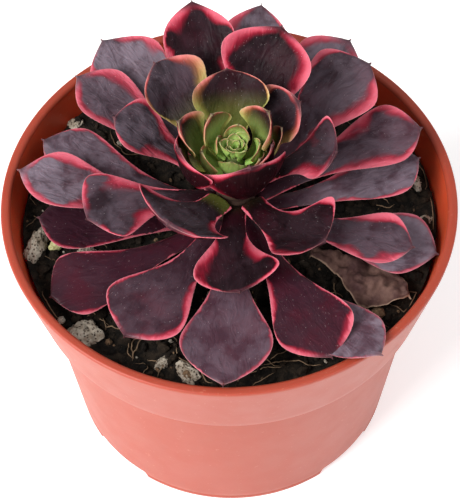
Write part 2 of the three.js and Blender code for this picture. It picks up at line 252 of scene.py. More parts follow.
def pot_finish():
    """Orange plastic, a lighter red inside than outside as painted light, for
    light that shines through the thin wall, duller on the lip, with a faint
    moulding mottle, fine dust and a satin skin.  A point is outside when its
    radius is more than a straight line of its height, one for the collar, one below."""
    finish, tree, shader = new_finish("orange_polypropylene", 0.42, 0.45)
    place = put(tree, "TexCoord").outputs["Object"]
    split = put(tree, "SeparateXYZ", {0: place})
    x_squared = calc(tree, "MULTIPLY", split.outputs[0], split.outputs[0])
    y_squared = calc(tree, "MULTIPLY", split.outputs[1], split.outputs[1])
    radius = calc(tree, "SQRT", calc(tree, "ADD", x_squared, y_squared))
    height = split.outputs[2]
    flare = (RIM_RADIUS - COLLAR_RADIUS) / (POT_HEIGHT - COLLAR_HEIGHT)
    collar_at = calc(tree, "MULTIPLY_ADD", height, flare, (COLLAR_RADIUS - 11.0) * MM)
    collar = fade(tree, calc(tree, "SUBTRACT", radius, collar_at), -0.4 * MM, 0.1 * MM)
    taper = (BODY_RADIUS - FOOT_RADIUS) / COLLAR_HEIGHT
    shell_at = calc(tree, "MULTIPLY_ADD", height, taper, (FOOT_RADIUS - 0.6) * MM)
    shell = fade(tree, calc(tree, "SUBTRACT", radius, shell_at), -0.2 * MM, 0.2 * MM)
    below_collar = fade(tree, height, (COLLAR_HEIGHT - 0.4) * MM, (COLLAR_HEIGHT - 0.1) * MM, 1.0, 0.0)
    below_lip = fade(tree, height, (POT_HEIGHT - 0.8) * MM, (POT_HEIGHT - 0.2) * MM, 1.0, 0.0)
    outer = calc(tree, "MAXIMUM", calc(tree, "MULTIPLY", shell, below_collar), collar)
    outer = calc(tree, "MULTIPLY", outer, below_lip)
    mottle = grain(tree, place, 55.0, 3.0)
    # painted light: the inside is painted a lighter red than the outside, standing in for light shining
    # through the thin wall
    inside_colour_with_painted_light = blend(tree, mottle, (0.52, 0.062, 0.020, 1), (0.60, 0.078, 0.028, 1))
    on_lip = fade(tree, height, (POT_HEIGHT - 1.2) * MM, (POT_HEIGHT - 0.6) * MM)
    inside_colour_with_painted_light = blend(tree, on_lip, inside_colour_with_painted_light, (0.33, 0.050, 0.024, 1))
    outside_colour = blend(tree, mottle, (0.335, 0.043, 0.014, 1), (0.355, 0.049, 0.018, 1))
    colour = blend(tree, outer, inside_colour_with_painted_light, outside_colour)
    dust = fade(tree, grain(tree, place, 900.0, 2.0), 0.66, 0.74)
    colour = blend(tree, calc(tree, "MULTIPLY", dust, 0.18), colour, (0.60, 0.30, 0.22, 1))
    tree.links.new(colour, shader.inputs["Base Color"])
    satin = fade(tree, grain(tree, place, 140.0, 5.0), 0.3, 0.75, 0.40, 0.46)
    tree.links.new(satin, shader.inputs["Roughness"])
    shader.inputs["Subsurface Weight"].default_value = 0.5
    shader.inputs["Subsurface Radius"].default_value = (1.0, 0.30, 0.15)
    shader.inputs["Subsurface Scale"].default_value = 0.003
    ripple = raise_from(tree, shader, grain(tree, place, 110.0, 2.0), 0.03, 0.0005)
    raise_from(tree, shader, grain(tree, place, 2600.0, 2.0), 0.10, 0.0001, ripple)
    return finish


pot = pot_piece()
turns = 2 * math.pi * np.arange(DRAIN_COUNT) / DRAIN_COUNT
holes = DRAIN_CIRCLE * np.stack([np.cos(turns), np.sin(turns)], -1)
drill(pot, holes, DRAIN_RADIUS, FOOT_HEIGHT - 1.4, FLOOR_TOP + 2.0)
pot.data.set_sharp_from_angle(angle=math.radians(50))
pot.data.materials.append(pot_finish())
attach(pot, "root")
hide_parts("pot")

# ------------------------------------------------------------------- compost
# Loose black peat compost that fills the pot to nine millimetres below the
# lip, with crumbs of peat and bark, dust of pumice and fine tan root threads.

SOIL_HEIGHT = 64.0
SOIL_RADIUS = 48.1
SOIL_AROUND = 300
SOIL_RINGS = 89
STREWN_RADIUS = 47.4
lattice = np.random.default_rng(11).random((32, 32, 32))


def lumps(points, size, shift=0.0):
    """Smooth random lumps from 0 to 1: random heights on a cubic lattice with
    the given spacing, blended between its points by t*t*(3-2t)."""
    q = np.asarray(points) / size + shift + 500.0
    low = np.floor(q).astype(int)
    t = q - low
    t = t * t * (3 - 2 * t)
    total = 0.0
    for corner in np.ndindex(2, 2, 2):
        weight = np.where(corner, t, 1 - t).prod(-1)
        x, y, z = np.moveaxis((low + corner) % len(lattice), -1, 0)
        total = total + weight * lattice[x, y, z]
    return total


def soil_height(x, y):
    """Height of the compost: a flat bed with lumps of three sizes, rising a
    little towards the wall, where it clings."""
    flat = np.stack([x, y, 0 * x], -1)
    clods = 2.2 * (lumps(flat, 7.0) - 0.5)
    crumbs = 1.3 * (lumps(flat, 2.6, 3.3) - 0.5) + 0.7 * (lumps(flat, 1.1, 7.7) - 0.5)
    by_wall = np.clip((np.hypot(x, y) - 42) / 6, 0, 1)
    return SOIL_HEIGHT + clods + crumbs + 0.6 * by_wall


def soil_piece():
    """Rings from the middle of the bottom, out and up the plain sides that lie
    against the pot, then in over the lumpy bed to its middle."""
    angle = np.linspace(0, 2 * math.pi, SOIL_AROUND, endpoint=False)
    bottom = FLOOR_TOP + 0.3
    foot = FOOT_RADIUS - WALL
    sides = np.array([
        (foot - 2, bottom), (foot + 0.1, bottom + 0.3),
        (BODY_RADIUS - 1.4, COLLAR_HEIGHT - 0.4), (COLLAR_RADIUS - 1.6, COLLAR_HEIGHT + 1.8),
    ])
    radius, height = sides[:, :1], sides[:, 1:]
    wall = np.stack([radius * np.cos(angle), radius * np.sin(angle), height + 0 * angle], -1)
    radius = np.linspace(SOIL_RADIUS, 0, SOIL_RINGS, endpoint=False)[:, None]
    x, y = radius * np.cos(angle), radius * np.sin(angle)
    bed = np.stack([x, y, soil_height(x, y)], -1)
    middles = np.array([[0, 0, bottom], [0, 0, SOIL_HEIGHT]])
    points = np.concatenate([middles[:1], wall.reshape(-1, 3), bed.reshape(-1, 3), middles[1:]])
    return make_mesh("potting_compost", points, ring_faces(len(wall) + len(bed), SOIL_AROUND))


def soil_finish():
    """Near-black peat, browner in cloudy patches of dry crumbs."""
    finish, tree, shader = new_finish("peat_compost", 0.95, 0.25)
    place = put(tree, "TexCoord").outputs["Object"]
    clod = grain(tree, place, 420.0, 6.0, 0.7)
    colour = blend(tree, fade(tree, clod, 0.40, 0.70), (0.005, 0.004, 0.003, 1), (0.034, 0.024, 0.016, 1))
    fleck = fade(tree, grain(tree, place, 1500.0, 2.0), 0.68, 0.76)
    colour = blend(tree, calc(tree, "MULTIPLY", fleck, 0.5), colour, (0.20, 0.14, 0.09, 1))
    tree.links.new(colour, shader.inputs["Base Color"])
    raise_from(tree, shader, grain(tree, place, 900.0, 6.0, 0.75), 0.9, 0.0006)
    return finish


soil = soil_piece()
soil.data.materials.append(soil_finish())
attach(soil, "root")
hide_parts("soil")


def unit_crumb(level):
    """Points and faces of a ball of triangles: an icosahedron whose triangles
    are split in four level times, at the middles of their sides, and whose
    points are then pushed out to distance 1."""
    golden = (1 + math.sqrt(5)) / 2
    points = np.array([
        (-1, golden, 0), (1, golden, 0), (-1, -golden, 0), (1, -golden, 0),
        (0, -1, golden), (0, 1, golden), (0, -1, -golden), (0, 1, -golden),
        (golden, 0, -1), (golden, 0, 1), (-golden, 0, -1), (-golden, 0, 1),
    ])
    faces = np.array([
        (0, 11, 5), (0, 5, 1), (0, 1, 7), (0, 7, 10), (0, 10, 11), (1, 5, 9), (5, 11, 4), (11, 10, 2),
        (10, 7, 6), (7, 1, 8), (3, 9, 4), (3, 4, 2), (3, 2, 6), (3, 6, 8), (3, 8, 9), (4, 9, 5),
        (2, 4, 11), (6, 2, 10), (8, 6, 7), (9, 8, 1),
    ])
    for _ in range(level):
        sides = np.sort(faces[:, [[0, 1], [1, 2], [2, 0]]], axis=2).reshape(-1, 2)
        sides, side_of = np.unique(sides, axis=0, return_inverse=True)
        ab, bc, ca = (len(points) + side_of.reshape(-1, 3)).T
        points = np.concatenate([points, points[sides].mean(1)])
        a, b, c = faces.T
        faces = np.stack([a, ab, ca, b, bc, ab, c, ca, bc, ab, bc, ca], -1).reshape(-1, 3)
    return points / np.linalg.norm(points, axis=1, keepdims=True), faces


def litter_piece():
    """Thousands of peat and bark crumbs strewn over the bed and half sunk in
    it: one small knobbly ball each, stretched, turned and placed at random."""
    rng = np.random.default_rng(5)
    count = 2600
    ball, ball_faces = unit_crumb(0)
    radius = (STREWN_RADIUS - 0.1) * np.sqrt(rng.random(count))
    angle = 2 * math.pi * rng.random(count)
    x, y = radius * np.cos(angle), radius * np.sin(angle)
    size = 0.30 + 1.25 * rng.random(count) ** 4
    stretch = size[:, None] * (0.55 + 0.9 * rng.random((count, 3)))
    knob = 1 + 0.25 * (rng.random((count, len(ball))) - 0.5)
    points = ball * knob[..., None] * stretch[:, None]
    turn = np.linalg.qr(rng.normal(size=(count, 3, 3)))[0]
    points = np.einsum("nij,nkj->nki", turn, points)
    points += np.stack([x, y, soil_height(x, y) + 0.25 * size], -1)[:, None]
    faces = ball_faces + len(ball) * np.arange(count)[:, None, None]
    mirrored = np.linalg.det(turn) < 0
    faces[mirrored] = faces[mirrored][:, :, ::-1]
    piece = make_mesh("compost_crumbs", points.reshape(-1, 3), faces.reshape(-1, 3).tolist(), smooth=False)
    kind = rng.random(count)
    pale = np.where(kind > 0.965, 1.0, np.where(kind > 0.86, 0.45, 0.25 * rng.random(count)))
    attribute = piece.data.attributes.new("pale", "FLOAT", "POINT")
    attribute.data.foreach_set("value", np.repeat(pale, len(ball)).astype(np.float32))
    return piece


def litter_finish():
    """Peat, bark or pumice dust, by the crumb's own paleness."""
    finish, tree, shader = new_finish("peat_and_bark", 0.95, 0.25)
    place = put(tree, "TexCoord").outputs["Object"]
    pale = put(tree, "Attribute", attribute_name="pale").outputs["Fac"]
    dark = blend(tree, fade(tree, pale, 0.0, 0.25), (0.005, 0.004, 0.003, 1), (0.028, 0.019, 0.012, 1))
    bark = blend(tree, fade(tree, pale, 0.3, 0.45), dark, (0.17, 0.105, 0.060, 1))
    colour = blend(tree, fade(tree, pale, 0.8, 1.0), bark, (0.52, 0.46, 0.38, 1))
    spots = fade(tree, grain(tree, place, 1800.0, 3.0), 0.4, 0.7, 0.6, 1.2)
    shade = put(tree, "CombineXYZ", {0: spots, 1: spots, 2: spots}).outputs[0]
    tree.links.new(blend(tree, 1.0, colour, shade, "MULTIPLY"), shader.inputs["Base Color"])
    raise_from(tree, shader, grain(tree, place, 2500.0, 4.0), 0.7, 0.0003)
    return finish


litter = litter_piece()
litter.data.materials.append(litter_finish())
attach(litter, "root")


def thread_mesh(name, path, radius, sides):
    """A mesh of closed tubes: circles carried square to each path, tapering
    towards both ends.  path holds count tubes by steps by 3."""
    count, steps, _ = path.shape
    run = np.gradient(path, axis=1)
    run /= np.linalg.norm(run, axis=2, keepdims=True)
    side = np.cross(run, [0, 0, 1.0])
    side /= np.linalg.norm(side, axis=2, keepdims=True) + 1e-9
    up = np.cross(side, run)
    t = np.linspace(0, 1, steps)
    thick = (radius[:, None] * np.minimum(1, 6 * np.minimum(t, 1 - t) + 0.15))[..., None, None]
    angle = np.linspace(0, 2 * math.pi, sides, endpoint=False)[:, None]
    ring = path[:, :, None] + thick * (np.cos(angle) * side[:, :, None] + np.sin(angle) * up[:, :, None])
    points = np.concatenate([path[:, :1], ring.reshape(count, -1, 3), path[:, -1:]], 1)
    return make_mesh(name, points.reshape(-1, 3), ring_faces(steps, sides, count))


def root_piece():
    """Root threads that wander over the bed: each turns a little at every
    step and rides just above the lumps."""
    rng = np.random.default_rng(23)
    count, steps = 90, 26
    radius = 22 + 25.5 * np.sqrt(rng.random(count))
    angle = 2 * math.pi * rng.random(count)
    heading = 2 * math.pi * rng.random(count)[:, None] + np.cumsum(0.28 * rng.normal(size=(count, steps)), 1)
    stride = (0.25 + 0.35 * rng.random(count))[:, None]
    x = (radius * np.cos(angle))[:, None] + np.cumsum(stride * np.cos(heading), 1)
    y = (radius * np.sin(angle))[:, None] + np.cumsum(stride * np.sin(heading), 1)
    far = np.maximum(1, np.hypot(x, y) / STREWN_RADIUS)
    x, y = x / far, y / far
    lift = 0.35 + 0.9 * np.sin(np.linspace(0, math.pi, steps)) * rng.random(count)[:, None]
    path = np.stack([x, y, soil_height(x, y) + lift], -1)
    return thread_mesh("root_threads", path, 0.07 + 0.09 * rng.random(count), 5)


def root_finish():
    """Dry tan root skin with darker stretches."""
    finish, tree, shader = new_finish("dry_root", 0.8, 0.3)
    place = put(tree, "TexCoord").outputs["Object"]
    patch = fade(tree, grain(tree, place, 200.0, 3.0), 0.35, 0.65)
    colour = blend(tree, patch, (0.10, 0.062, 0.036, 1), (0.34, 0.23, 0.14, 1))
    tree.links.new(colour, shader.inputs["Base Color"])
    return finish


roots = root_piece()
roots.data.materials.append(root_finish())
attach(roots, "root")

# -------------------------------------------------------------------- pumice
# Pale crumbs of pumice that keep the compost open, lying half sunk in it,
# full of pores, and one small pale green bud that has dropped among them.

# name, x, y, height, three half-sizes and turn in degrees
PUMICE = [
    ("pumice_left", -45, -7, 65, (3.8, 2.0, 2.2), 70),
    ("pumice_left_small", -33, -8.6, 64.6, (1.9, 1.2, 1.1), 20),
    ("pumice_back_left", -36.4, 28.2, 64.6, (2.0, 2.0, 1.7), 30),
    ("pumice_front_left", -33, -31, 64.4, (3.4, 2.8, 1.6), 35),
    ("pumice_front_a", -15.4, -39, 64.4, (2.2, 1.3, 1.4), 40),
    ("pumice_front_b", -9.8, -42.2, 64.6, (2.8, 1.7, 1.6), -40),
    ("pumice_right", 43.8, 9.6, 64.8, (1.7, 2.6, 1.9), 10),
    ("pumice_right_front", 45.6, -2, 64.4, (1.8, 1.6, 1.3), 30),
]


def stone_points(x, y, height, half, turn, knobbly):
    """A ball stretched to its half-sizes, pushed out and in by lumps of three
    sizes, turned about Z and set in place."""
    ball, faces = unit_crumb(4)
    grid = ball * 10
    knobs = 0.9 * (lumps(grid, 9.0, x) - 0.5) + 0.55 * (lumps(grid, 4.0, y) - 0.5)
    knobs += 0.30 * (lumps(grid, 1.6, x + y) - 0.5)
    points = ball * (1 + knobbly * knobs)[:, None] * np.array(half)
    c, s = math.cos(math.radians(turn)), math.sin(math.radians(turn))
    points = points @ np.array([[c, s, 0], [-s, c, 0], [0, 0, 1]])
    return points + np.array([x, y, height]), faces.tolist()


def pumice_finish():
    """Off-white stone with grey and tan stains, and pores painted dark as painted shade."""
    finish, tree, shader = new_finish("pumice_stone", 0.95, 0.2)
    place = put(tree, "TexCoord").outputs["Object"]
    stain = fade(tree, grain(tree, place, 320.0, 5.0, 0.6), 0.35, 0.68)
    colour = blend(tree, stain, (0.50, 0.45, 0.37, 1), (0.24, 0.19, 0.14, 1))
    pores = put(tree, "TexVoronoi", {"Vector": place, "Scale": 1300.0}).outputs["Distance"]
    pore_depth_and_shade = fade(tree, pores, 0.12, 0.42)
    # painted shade: the pores are darkened where they dip, as shade inside them
    colour = blend(tree, pore_depth_and_shade, (0.10, 0.07, 0.05, 1), colour)
    tree.links.new(colour, shader.inputs["Base Color"])
    pitted = raise_from(tree, shader, pore_depth_and_shade, 0.8, 0.0004)
    raise_from(tree, shader, grain(tree, place, 1500.0, 5.0, 0.7), 0.6, 0.0003, pitted)
    return finish


stone = pumice_finish()
for name, x, y, height, half, turn in PUMICE:
    points, faces = stone_points(x, y, height, half, turn, 0.9)
    crumb = make_mesh(name + "_stone", points, faces)
    crumb.data.materials.append(stone)
    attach(crumb, "root")
    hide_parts(name)


def bud_finish():
    """Waxy yellow-green skin with brown bruises."""
    finish, tree, shader = new_finish("pale_bud_skin", 0.5, 0.4)
    place = put(tree, "TexCoord").outputs["Object"]
    bruise = fade(tree, grain(tree, place, 500.0, 4.0), 0.5, 0.72)
    colour = blend(tree, bruise, (0.52, 0.52, 0.24, 1), (0.26, 0.20, 0.09, 1))
    tree.links.new(colour, shader.inputs["Base Color"])
    raise_from(tree, shader, grain(tree, place, 900.0, 4.0), 0.4, 0.0003)
    return finish


points, faces = stone_points(-40, -7, 65.2, (1.9, 1.2, 1.3), 30, 0.5)
bud = make_mesh("dropped_bud", points, faces)
bud.data.materials.append(bud_finish())
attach(bud, "root")
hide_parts("fallen_bud")

# ---------------------------------------------------------------------- stem
# The short woody stem that all leaves grow from, ringed with the scars of
# fallen leaves and tapering to the growing point in the rosette's heart.

stem_low, stem_high = box_mm("stem")
STEM_X, STEM_Y, _ = (stem_low + stem_high) / 2
STEM_RADIUS = (stem_high[0] - stem_low[0]) / 2
STEM_FOOT = stem_low[2]
STEM_TOP = stem_high[2]
STEM_SHOULDER = STEM_TOP - 10.0
STEM_TOP_RADIUS = 1.2
SCAR_SPACING = 2.2


def stem_radius(height):
    """Straight up to the shoulder, then a straight taper."""
    t = np.clip((height - STEM_SHOULDER) / (STEM_TOP - STEM_SHOULDER), 0, 1)
    return STEM_RADIUS + (STEM_TOP_RADIUS - STEM_RADIUS) * t


def stem_piece():
    """The turned stem, pinched at each ring of scars and lumpy all over."""
    height = np.linspace(STEM_FOOT, STEM_TOP, 60)
    radius = stem_radius(height) * (0.95 + 0.04 * np.cos(height * 2 * math.pi / SCAR_SPACING))
    ends = np.array([[0, STEM_FOOT], [0, STEM_TOP]])
    profile = np.concatenate([ends[:1], np.stack([radius, height], -1), ends[1:]])
    points, faces = turned(profile, 40)
    points[:, :2] *= (0.94 + 0.08 * lumps(points, 1.8))[:, None]
    return make_mesh("rosette_stem", points + np.array([STEM_X, STEM_Y, 0]), faces)


def stem_finish():
    """Brown cork, reddish green near the growing point."""
    finish, tree, shader = new_finish("corky_stem", 0.8, 0.3)
    place = put(tree, "TexCoord").outputs["Object"]
    height = put(tree, "SeparateXYZ", {0: place}).outputs[2]
    cork = blend(tree, grain(tree, place, 500.0, 5.0), (0.022, 0.010, 0.008, 1), (0.075, 0.040, 0.026, 1))
    fresh = fade(tree, height, (STEM_TOP - 12.0) * MM, (STEM_TOP - 2.0) * MM)
    colour = blend(tree, fresh, cork, (0.10, 0.13, 0.04, 1))
    tree.links.new(colour, shader.inputs["Base Color"])
    raise_from(tree, shader, grain(tree, place, 900.0, 5.0), 0.6, 0.0004)
    return finish


stem = stem_piece()
stem.data.materials.append(stem_finish())
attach(stem, "root")
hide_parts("stem")

# -------------------------------------------------------------- living leaves
# Fleshy spoon-shaped leaves that grow from the stem in a spiral: small green
# ones in the heart, dark maroon ones with a rose margin round it, then wide
# plum ones under a grey wax bloom that is partly painted sheen.  Each has a horny tip and a toothed edge.

# shares of a leaf's half width at its root and in its point, and how long
# its neck stays narrow
LEAF_BASE = 0.26
LEAF_TIP = 0.16
LEAF_NECK = 2.0
# points along a leaf and round it
ROWS = 110
ROUND = 56
THINNEST = 0.4
TOOTH_SPACING = 1.1

# az, root, rise, reach, tip, width, cup, sway, widest: the leaf's direction,
# its height on the stem, lean, reach from the stem's axis, tip height, full
# width, curl of the edges, sideways bow and where it is widest.  Then its
# looks from 0 to 1: bloom (grey wax, and painted sheen), rose (margin), green and plum.
OUTER_LEAVES = [
    (266, 70, 2, 51, 74.8, 20.5, 16, 0, 0.74, 0.3, 0.20, 0.0, 0.8),
    (235, 70, 6, 44, 72, 20, 22, 0.5, 0.8, 0.15, 0.60, 0.0, 0.3),
    (295, 71.5, 6, 48, 73.6, 18, 16, 0, 0.8, 0, 0.60, 0.0, 0.4),
    (305, 66.5, 0, 54, 76, 15.5, 12, -1.5, 0.8, 0.8, 0.15, 0.0, 1.0),
    (338, 71, 10, 43, 76, 14.5, 24, -1, 0.8, 0.3, 0.85, 0.0, 0.2),
    (343, 67, 2, 48, 70, 17, 12, 1, 0.8, 0.85, 0.25, 0.0, 1.0),
    (208, 67, 4, 48, 68, 17, 14, 1, 0.84, 0, 0.25, 0.0, 0.5),
    (182, 67, 4, 46, 70, 17, 14, 2, 0.8, 0, 0.20, 0.0, 0.3),
    (173, 70, 10, 50.5, 78, 15.5, 22, 2, 0.78, 0.8, 0.90, 0.0, 0.2),
    (159, 67.5, 8, 48.5, 75, 15, 16, 1, 0.8, 0.65, 0.40, 0.0, 0.4),
    (142, 72, 16, 47, 84, 15.5, 22, -1, 0.8, 0.5, 0.85, 0.0, 0.2),
    (128, 69, 14, 51, 84, 20, 22, -1, 0.8, 0.85, 0.90, 0.0, 0.2),
    (117, 67.2, 8, 40, 77, 13, 16, 0, 0.8, 0.6, 0.60, 0.0, 0.3),
    (81, 70, 24, 45, 91, 16, 20, 1, 0.8, 0.65, 0.80, 0.0, 0.3),
    (54, 69, 18, 48, 84, 18, 20, 2, 0.82, 0.75, 0.90, 0.0, 0.3),
    (41, 73, 20, 42.5, 88, 20, 24, 1.5, 0.82, 0.35, 1.00, 0.0, 0.0),
    (17, 72, 12, 45.3, 82, 17.5, 24, 1.5, 0.82, 0.35, 0.90, 0.0, 0.2),
    (12, 69, 8, 44, 76, 16, 18, -1.5, 0.8, 0.7, 0.50, 0.0, 0.4),
]
MIDDLE_LEAVES = [
    (271, 76, 14, 29, 78, 20, 34, -1.2, 0.82, 0.05, 1.00, 0.05, 0.0),
    (314, 77, 12, 28, 85, 22, 36, -1.5, 0.82, 0.05, 1.00, 0.05, 0.0),
    (196, 75, 8, 35, 80, 19, 26, -2.5, 0.82, 0.35, 0.95, 0.0, 0.1),
    (229, 78, 12, 23, 88, 26, 32, 0, 0.82, 0.25, 0.90, 0.15, 0.0),
    (160, 78, 24, 29, 92, 15, 36, -1, 0.8, 0.5, 0.95, 0.25, 0.0),
    (357, 80, 24, 22.5, 92, 17, 40, 2, 0.88, 0.2, 1.00, 0.15, 0.0),
    (131, 79, 36, 27.5, 98, 19, 46, -1, 0.78, 0.25, 0.8, 0.55, 0.0),
    (104, 77, 34, 38.5, 100.5, 17.5, 36, 1, 0.76, 0.05, 1.00, 0.0, 0.0),
    (69, 78, 34, 31.5, 100, 23.5, 44, 1, 0.76, 0.05, 1.00, 0.0, 0.0),
    (30, 82, 44, 17, 98, 17, 50, 1.5, 0.78, 0.15, 0.9, 0.50, 0.0),
]
INNER_LEAVES = [
    (290, 83, 15, 9, 97, 24, 56, 0, 0.76, 0.0, 1.00, 0.25, 0.0),
    (200, 83, 5, 13, 98.5, 18, 60, 0, 0.76, 0.0, 1.00, 0.25, 0.0),
    (345, 84.5, 25, 8.5, 96.5, 10, 60, 0, 0.76, 0.05, 0.80, 0.55, 0.0),
    (95, 83, 50, 17, 100, 22, 70, 0, 0.74, 0.05, 0.8, 0.65, 0.0),
    (167, 84, 40, 12.5, 99, 14, 60, 0, 0.74, 0.05, 0.8, 0.75, 0.0),
    (25, 85, 50, 8, 101, 15, 70, 0, 0.74, 0.05, 0.8, 0.75, 0.0),
    (9, 84, 30, 10.5, 97.5, 7, 50, 0, 0.74, 0.05, 0.7, 0.75, 0.0),
]
HEART_LEAVES = [
    (140, 85.5, 45, 6.4, 99.5, 11, 50, 0, 0.72, 0.0, 0.6, 0.85, 0.0),
    (200, 85.5, 10, 7.5, 95, 9, 60, 0, 0.72, 0.0, 0.5, 0.90, 0.0),
    (320, 85.5, 10, 7, 94.5, 9, 60, 0, 0.72, 0.0, 0.5, 0.90, 0.0),
    (75, 88, 60, 3.2, 97, 7.5, 70, 0, 0.7, 0.0, 0.3, 0.95, 0.0),
    (165, 87.8, 30, 3.8, 95.5, 5, 60, 0, 0.7, 0.0, 0.3, 1.00, 0.0),
    (350, 87.5, 30, 5.6, 95.5, 7, 60, 0, 0.7, 0.0, 0.3, 1.00, 0.0),
    (260, 87, 10, 4.6, 93.5, 8, 60, 0, 0.7, 0.0, 0.3, 1.00, 0.0),
]


def half_outline(along, widest):
    """0 to 1: swells from the narrow root by 3t^2-2t^3 to the widest place,
    rounds off as 1-t^2.1, and ends in a short straight-sided point."""
    s = np.clip(along / widest, 0, 1) ** LEAF_NECK
    blade = LEAF_BASE + (1 - LEAF_BASE) * s * s * (3 - 2 * s)
    t = np.clip((along - widest) / (1 - widest), 0, 1)
    cap = np.clip(1 - (t / 0.93) ** 2.1, 0, 1)
    return np.where(along < widest, blade, np.cbrt(cap**3 + (LEAF_TIP * (1 - t)) ** 3))


def leaf_surface(leaf, seed, start=None, crumple=0.0):
    """Points of a leaf's skin, and where each lies on the leaf.  The midrib is
    the parabola from the stem, leaning by rise, to the tip.  Round it stands a
    flat lens at each place, as wide as the outline and rolled into an arc like
    a gutter, with a channel down the midrib, lumps, waves and fine teeth.
    start is the root's distance from the stem's axis where it isn't the bark,
    and crumple is the height of a dry leaf's folds."""
    az, root, rise, reach, tip, width, cup, sway, widest = leaf[:9]
    az, rise, cup = math.radians(az), math.radians(rise), math.radians(cup)
    out = np.array([math.cos(az), math.sin(az), 0])
    sideways = np.array([-math.sin(az), math.cos(az), 0])
    up = np.array([0, 0, 1.0])
    begin = out * (stem_radius(root) + 0.3 if start is None else start) + up * root
    end = out * reach + up * tip
    span = np.linalg.norm(end - begin)
    bend = begin + 0.5 * span * (math.cos(rise) * out + math.sin(rise) * up) + 2 * sway * sideways

    # u runs along the leaf, with its rows closer together towards the tip
    t = np.linspace(0, 1, ROWS + 2)[1:-1]
    u = (1 - (1 - t) ** 1.25 * (1 - 0.25 * t))[:, None]
    midrib = (1 - u) ** 2 * begin + 2 * u * (1 - u) * bend + u**2 * end
    tangent = 2 * (1 - u) * (bend - begin) + 2 * u * (end - bend)
    tangent /= np.linalg.norm(tangent, axis=1, keepdims=True)
    across = sideways - tangent * (tangent @ sideways)[:, None]
    across /= np.linalg.norm(across, axis=1, keepdims=True)
    normal = np.cross(tangent, across)

    # c runs from one edge to the other, s from the under to the upper face
    angle = np.linspace(0, 2 * math.pi, ROUND, endpoint=False)[None]
    c, s = np.cos(angle), np.sin(angle)
    outline = half_outline(u, widest)
    pole = np.minimum(1, np.sqrt(1 - (2 * u - 1) ** 2) / 0.25)
    length = span * 1.05
    phase = seed * 2.39
    teeth = 0.05 * np.abs(np.sin(math.pi * u * length / TOOTH_SPACING + phase)) * np.abs(c) ** 8
    half = (width / 2) * outline * pole * (1 + 0.012 * np.sin(9 * u + phase) * np.sign(c)) + teeth
    thick = (0.055 * width + 0.1) * (1 - 0.45 * u) * pole

    # the lens is rolled by the angle curl on a circle of this radius
    curl = cup * np.maximum(0.3, outline) + 1e-6
    radius = np.maximum(half, THINNEST) / curl
    bow = half / radius * c
    lens = np.sqrt(np.maximum(0.05, 1 - 0.9 * c * c))
    lift = thick * s * lens

    # relief of the skin: channel, waves of the blade, lumps and dry folds
    channel = -0.10 * thick * np.exp(-((c / 0.16) ** 2)) * np.clip(s * 4, 0, 1)
    wave = 0.022 * width * c * c * outline * np.sin(7.0 * u + phase + 1.5 * np.sign(c)) * (u > 0.3)
    place = np.stack([u * length + 0 * c, c * half + 0 * u, 0 * c * u + seed * 3.7], -1)
    skin = 0.42 * (lumps(place * (0.55, 1, 1), 3.4) - 0.5) + 0.22 * (lumps(place * (0.4, 1, 1), 1.3) - 0.5)
    skin = skin * np.clip(np.abs(s) * 2, 0, 1)
    fold = crumple * (lumps(place, 3.2, 0.4) - 0.5) + 0.45 * crumple * (lumps(place, 1.3, 2.1) - 0.5)

    lift = lift + channel + skin * pole
    x = (radius - lift) * np.sin(bow)
    y = radius - (radius - lift) * np.cos(bow) + (wave + fold) * pole
    ring = midrib[:, None] + x[..., None] * across[:, None] + y[..., None] * normal[:, None]
    ends = np.array([begin, end])
    points = np.concatenate([ends[:1], ring.reshape(-1, 3), ends[1:]])
    edge = half * (1 - np.abs(c))
    ones = np.ones_like(edge)

    def with_ends(value, first, last):
        """A value for every point: the root's, the rings' and the tip's."""
        return np.concatenate([[first], (value * ones).ravel(), [last]])

    looks = {
        "edge": with_ends(edge, 1.0, 0.0),
        "along": with_ends(u, 0.0, 1.0),
        "upper": with_ends(np.clip(0.5 + 4 * s, 0, 1), 0.5, 0.5),
        "far": with_ends(u * length, 0.0, length),
        "wide": with_ends(c * half, 0.0, 0.0),
    }
    return points + np.array([STEM_X, STEM_Y, 0]), looks


def leaf_piece(name, leaf, seed, start=None, crumple=0.0):
    """One leaf with its surface coordinates and looks stored on its points."""
    points, looks = leaf_surface(leaf, seed, start, crumple)
    piece = make_mesh(name, points, ring_faces(ROWS, ROUND))
    looks.update(zip(("wax_bloom_and_sheen", "rose", "green", "plum"), (np.full(len(points), v) for v in leaf[9:])))
    looks["seed"] = np.full(len(points), seed * 7.31)
    for key, value in looks.items():
        attribute = piece.data.attributes.new(key, "FLOAT", "POINT")
        attribute.data.foreach_set("value", value.astype(np.float32))
    return piece


